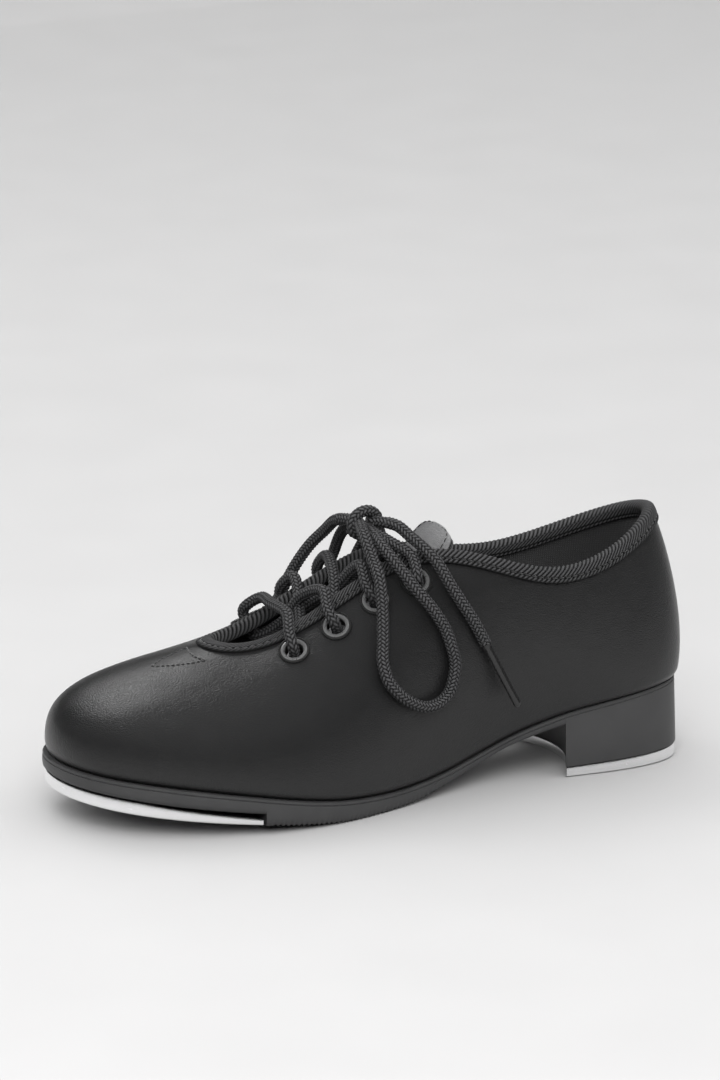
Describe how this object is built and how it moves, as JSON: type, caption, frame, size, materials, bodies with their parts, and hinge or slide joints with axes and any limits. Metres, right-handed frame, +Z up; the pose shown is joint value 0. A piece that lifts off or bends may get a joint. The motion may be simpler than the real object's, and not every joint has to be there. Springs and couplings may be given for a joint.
{
  "type": "tap shoe",
  "caption": "Black lace-up tap shoe for the left foot, with a rounded toe, low block heel, bound top edge, tied round laces and aluminium taps screwed under toe and heel.",
  "frame": {"origin": "middle of the footprint, on the floor the shoe stands on", "axes": "+Y from toe to heel, +X to the outer (little toe) side, +Z up"},
  "size_m": [0.0963, 0.2595, 0.1105],
  "materials": {
    "upper_leather": "black synthetic leather, fine pebble grain with soft creases, semi-matt",
    "tongue_leather": "dark grey to black synthetic leather, soft sheen, stitched edge",
    "tongue_textile": "black brushed textile over thin foam",
    "lining_textile": "black knitted textile lining, matt",
    "sock_textile": "black textile sock, matt",
    "binding_tape": "black ribbed tape, two rows of slanting ribs with a line of stitching between them",
    "lace_braid": "black round braided cord, matt",
    "aglet_plastic": "black heat-shrunk plastic tip",
    "thread": "black sewing thread",
    "eyelet_enamel": "black gloss enamel on brass",
    "sole_rubber": "black moulded rubber, semi-matt with a smooth edge and a fine ribbed tread edge",
    "tap_aluminium": "bright machined aluminium, satin",
    "screw_steel": "zinc plated steel",
    "shank_steel": "bare spring steel",
    "fibre_board": "pressed brown fibreboard",
    "cork": "pressed cork",
    "stiffener": "resin-stiffened non-woven fibre sheet"
  },
  "bodies": {
    "root": {"outsole_unit": "sole_rubber", "toe_tap": "tap_aluminium", "heel_tap": "tap_aluminium", "toe_tap_screw_1": "screw_steel", "toe_tap_screw_2": "screw_steel", "toe_tap_screw_3": "screw_steel", "heel_tap_screw_1": "screw_steel", "heel_tap_screw_2": "screw_steel", "heel_tap_screw_3": "screw_steel", "insole_board": "fibre_board", "sock_liner": "sock_textile", "forepart_filler": "cork", "steel_shank": "shank_steel", "upper_shell": "upper_leather", "upper_lining": "lining_textile", "toe_puff": "stiffener", "heel_counter": "stiffener", "topline_binding": "binding_tape", "eyelet_outer_1": "eyelet_enamel", "eyelet_washer_outer_1": "eyelet_enamel", "eyelet_outer_2": "eyelet_enamel", "eyelet_washer_outer_2": "eyelet_enamel", "eyelet_outer_3": "eyelet_enamel", "eyelet_washer_outer_3": "eyelet_enamel", "eyelet_outer_4": "eyelet_enamel", "eyelet_washer_outer_4": "eyelet_enamel", "eyelet_inner_1": "eyelet_enamel", "eyelet_washer_inner_1": "eyelet_enamel", "eyelet_inner_2": "eyelet_enamel", "eyelet_washer_inner_2": "eyelet_enamel", "eyelet_inner_3": "eyelet_enamel", "eyelet_washer_inner_3": "eyelet_enamel", "eyelet_inner_4": "eyelet_enamel", "eyelet_washer_inner_4": "eyelet_enamel", "tongue_tack_stitch": "thread", "lace_laced_run": "lace_braid", "lace_knot": "lace_braid"},
    "tongue": {"tongue_outer": "tongue_leather", "tongue_padding": "tongue_textile"},
    "bow_outer": {"lace_loop_outer": "lace_braid", "lace_tail_outer": "lace_braid", "aglet_outer": "aglet_plastic"},
    "bow_inner": {"lace_loop_inner": "lace_braid", "lace_tail_inner": "lace_braid", "aglet_inner": "aglet_plastic"}
  },
  "joints": [
    {"name": "tongue_hinge", "type": "hinge", "parent": "root", "child": "tongue", "pos_m": [-0.0009, -0.0883, 0.0534], "axis": [-1, 0, 0], "range_deg": [0, 8], "stiffness_Nm_per_rad": 1.5, "springref_deg": -1.72},
    {"name": "bow_outer_swing", "type": "hinge", "parent": "root", "child": "bow_outer", "pos_m": [0.0146, -0.0023, 0.1005], "axis": [0, -1, 0], "range_deg": [0, 75]},
    {"name": "bow_inner_swing", "type": "hinge", "parent": "root", "child": "bow_inner", "pos_m": [-0.0114, -0.0023, 0.1005], "axis": [0, 1, 0], "range_deg": [0, 75]}
  ]
}
